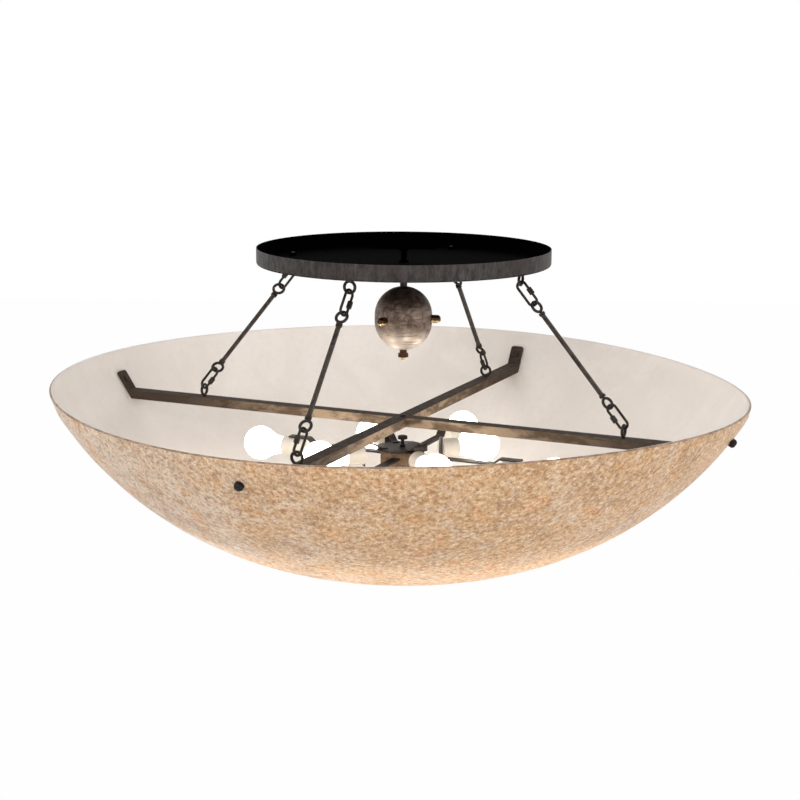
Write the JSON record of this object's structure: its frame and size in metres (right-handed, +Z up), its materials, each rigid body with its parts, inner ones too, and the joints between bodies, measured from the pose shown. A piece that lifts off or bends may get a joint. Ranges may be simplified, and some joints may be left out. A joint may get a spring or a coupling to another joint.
{
  "type": "semi flush ceiling light",
  "caption": "Wide shallow translucent bowl hung from a round ceiling pan by slanting rods and quick links, with crossed arms and a lamp group inside.",
  "frame": {"origin": "middle of the mounting strap's top face, on the ceiling plane at the open top of the pan", "axes": "+Z up, towards the ceiling; the picture looks along +Y with +X to its right; the long arm's near end points 24 degrees from +X towards -Y"},
  "size_m": [1.2172, 1.2172, 0.5746],
  "materials": {
    "bowl_resin": "translucent mottled cast resin, smooth pale inside, tan and peach crackle outside",
    "frosted_bulb": "frosted white, glowing when lit",
    "socket_porcelain": "cream glazed",
    "pad_rubber": "matt",
    "zinc_steel": "dull zinc",
    "aged_brass": "aged, dark on top",
    "blackened_metal": "blackened, satin",
    "mottled_bronze": "mottled dark bronze patina",
    "dark_hardware": "dark bronze plated hardware",
    "bronze_paint": "dark oil rubbed bronze with streaks"
  },
  "bodies": {
    "canopy": {"ceiling_pan": "bronze_paint", "mounting_strap": "blackened_metal", "centre_stem": "blackened_metal", "pan_nuts": "blackened_metal", "pan_eyes": "dark_hardware", "neck_tube": "zinc_steel", "ball_top": "mottled_bronze", "ball_belt": "mottled_bronze", "ball_bottom": "mottled_bronze", "ball_plugs": "aged_brass", "ball_finial": "blackened_metal"},
    "bowl_frame": {"bowl": "bowl_resin", "long_arm": "bronze_paint", "cross_arm": "bronze_paint", "cross_screw": "dark_hardware", "arm_eyes": "dark_hardware", "wall_screws": "dark_hardware", "wall_pads": "pad_rubber", "lamp_column": "zinc_steel", "column_nuts": "zinc_steel", "floor_washers": "zinc_steel", "hub_box": "bronze_paint", "hub_cap": "bronze_paint", "hub_finial": "blackened_metal", "lamp_straps": "bronze_paint", "socket_brackets": "bronze_paint", "inner_sockets": "socket_porcelain", "outer_sockets": "socket_porcelain"},
    "hanger_right": {"hanger_rod_right": "bronze_paint", "rod_ends_right": "dark_hardware", "quick_links_right": "dark_hardware"},
    "top_sleeve_right": {"top_sleeve_right": "dark_hardware"},
    "bottom_sleeve_right": {"bottom_sleeve_right": "dark_hardware"},
    "hanger_back": {"hanger_rod_back": "bronze_paint", "rod_ends_back": "dark_hardware", "quick_links_back": "dark_hardware"},
    "top_sleeve_back": {"top_sleeve_back": "dark_hardware"},
    "bottom_sleeve_back": {"bottom_sleeve_back": "dark_hardware"},
    "hanger_left": {"hanger_rod_left": "bronze_paint", "rod_ends_left": "dark_hardware", "quick_links_left": "dark_hardware"},
    "top_sleeve_left": {"top_sleeve_left": "dark_hardware"},
    "bottom_sleeve_left": {"bottom_sleeve_left": "dark_hardware"},
    "hanger_front": {"hanger_rod_front": "bronze_paint", "rod_ends_front": "dark_hardware", "quick_links_front": "dark_hardware"},
    "top_sleeve_front": {"top_sleeve_front": "dark_hardware"},
    "bottom_sleeve_front": {"bottom_sleeve_front": "dark_hardware"},
    "knob_right": {"knob_right": "blackened_metal"},
    "knob_back": {"knob_back": "blackened_metal"},
    "knob_left": {"knob_left": "blackened_metal"},
    "knob_front": {"knob_front": "blackened_metal"},
    "inner_bulb_1": {"inner_bulb_1": "frosted_bulb"},
    "inner_bulb_2": {"inner_bulb_2": "frosted_bulb"},
    "inner_bulb_3": {"inner_bulb_3": "frosted_bulb"},
    "inner_bulb_4": {"inner_bulb_4": "frosted_bulb"},
    "outer_bulb_1": {"outer_bulb_1": "frosted_bulb"},
    "outer_bulb_2": {"outer_bulb_2": "frosted_bulb"},
    "outer_bulb_3": {"outer_bulb_3": "frosted_bulb"},
    "outer_bulb_4": {"outer_bulb_4": "frosted_bulb"}
  },
  "joints": [
    {"name": "bowl_sway", "type": "hinge", "parent": "canopy", "child": "bowl_frame", "pos_m": [0, 0, 0.20447], "axis": [0.4067, 0.9135, 0], "range_deg": [-2, 2]},
    {"name": "hanger_right_swing", "type": "hinge", "parent": "canopy", "child": "hanger_right", "pos_m": [0.19641, -0.08745, -0.0525], "axis": [0.4067, 0.9135, 0], "range_deg": [-4.5, 4.5]},
    {"name": "top_sleeve_right_travel", "type": "slide", "parent": "hanger_right", "child": "top_sleeve_right", "axis": [0.5862, -0.261, -0.767], "range_m": [0, 0.009]},
    {"name": "bottom_sleeve_right_travel", "type": "slide", "parent": "hanger_right", "child": "bottom_sleeve_right", "axis": [-0.5862, 0.261, 0.767], "range_m": [0, 0.009]},
    {"name": "hanger_back_swing", "type": "hinge", "parent": "canopy", "child": "hanger_back", "pos_m": [0.08745, 0.19641, -0.0525], "axis": [0.4067, 0.9135, 0], "range_deg": [-4.5, 4.5]},
    {"name": "top_sleeve_back_travel", "type": "slide", "parent": "hanger_back", "child": "top_sleeve_back", "axis": [0.261, 0.5862, -0.767], "range_m": [0, 0.009]},
    {"name": "bottom_sleeve_back_travel", "type": "slide", "parent": "hanger_back", "child": "bottom_sleeve_back", "axis": [-0.261, -0.5862, 0.767], "range_m": [0, 0.009]},
    {"name": "hanger_left_swing", "type": "hinge", "parent": "canopy", "child": "hanger_left", "pos_m": [-0.19641, 0.08745, -0.0525], "axis": [0.4067, 0.9135, 0], "range_deg": [-4.5, 4.5]},
    {"name": "top_sleeve_left_travel", "type": "slide", "parent": "hanger_left", "child": "top_sleeve_left", "axis": [-0.5862, 0.261, -0.767], "range_m": [0, 0.009]},
    {"name": "bottom_sleeve_left_travel", "type": "slide", "parent": "hanger_left", "child": "bottom_sleeve_left", "axis": [0.5862, -0.261, 0.767], "range_m": [0, 0.009]},
    {"name": "hanger_front_swing", "type": "hinge", "parent": "canopy", "child": "hanger_front", "pos_m": [-0.08745, -0.19641, -0.0525], "axis": [0.4067, 0.9135, 0], "range_deg": [-4.5, 4.5]},
    {"name": "top_sleeve_front_travel", "type": "slide", "parent": "hanger_front", "child": "top_sleeve_front", "axis": [-0.261, -0.5862, -0.767], "range_m": [0, 0.009]},
    {"name": "bottom_sleeve_front_travel", "type": "slide", "parent": "hanger_front", "child": "bottom_sleeve_front", "axis": [0.261, 0.5862, 0.767], "range_m": [0, 0.009]},
    {"name": "knob_right_unscrew", "type": "slide", "parent": "bowl_frame", "child": "knob_right", "axis": [0.7602, -0.3385, -0.5545], "range_m": [0, 0.01]},
    {"name": "knob_back_unscrew", "type": "slide", "parent": "bowl_frame", "child": "knob_back", "axis": [0.3385, 0.7602, -0.5545], "range_m": [0, 0.01]},
    {"name": "knob_left_unscrew", "type": "slide", "parent": "bowl_frame", "child": "knob_left", "axis": [-0.7602, 0.3385, -0.5545], "range_m": [0, 0.01]},
    {"name": "knob_front_unscrew", "type": "slide", "parent": "bowl_frame", "child": "knob_front", "axis": [-0.3385, -0.7602, -0.5545], "range_m": [0, 0.01]},
    {"name": "inner_bulb_1_unscrew", "type": "slide", "parent": "bowl_frame", "child": "inner_bulb_1", "axis": [0.9336, 0.3584, 0], "range_m": [0, 0.028]},
    {"name": "inner_bulb_2_unscrew", "type": "slide", "parent": "bowl_frame", "child": "inner_bulb_2", "axis": [-0.3584, 0.9336, 0], "range_m": [0, 0.028]},
    {"name": "inner_bulb_3_unscrew", "type": "slide", "parent": "bowl_frame", "child": "inner_bulb_3", "axis": [-0.9336, -0.3584, 0], "range_m": [0, 0.028]},
    {"name": "inner_bulb_4_unscrew", "type": "slide", "parent": "bowl_frame", "child": "inner_bulb_4", "axis": [0.3584, -0.9336, 0], "range_m": [0, 0.028]},
    {"name": "outer_bulb_1_unscrew", "type": "slide", "parent": "bowl_frame", "child": "outer_bulb_1", "axis": [0.9135, -0.4067, 0], "range_m": [0, 0.028]},
    {"name": "outer_bulb_2_unscrew", "type": "slide", "parent": "bowl_frame", "child": "outer_bulb_2", "axis": [0.4067, 0.9135, 0], "range_m": [0, 0.028]},
    {"name": "outer_bulb_3_unscrew", "type": "slide", "parent": "bowl_frame", "child": "outer_bulb_3", "axis": [-0.9135, 0.4067, 0], "range_m": [0, 0.028]},
    {"name": "outer_bulb_4_unscrew", "type": "slide", "parent": "bowl_frame", "child": "outer_bulb_4", "axis": [-0.4067, -0.9135, 0], "range_m": [0, 0.028]}
  ],
  "couplings": [
    {"joint": "hanger_right_swing", "follows": "bowl_sway", "ratio": 2.1497},
    {"joint": "hanger_back_swing", "follows": "bowl_sway", "ratio": 2.1497},
    {"joint": "hanger_left_swing", "follows": "bowl_sway", "ratio": 2.1497},
    {"joint": "hanger_front_swing", "follows": "bowl_sway", "ratio": 2.1497}
  ]
}
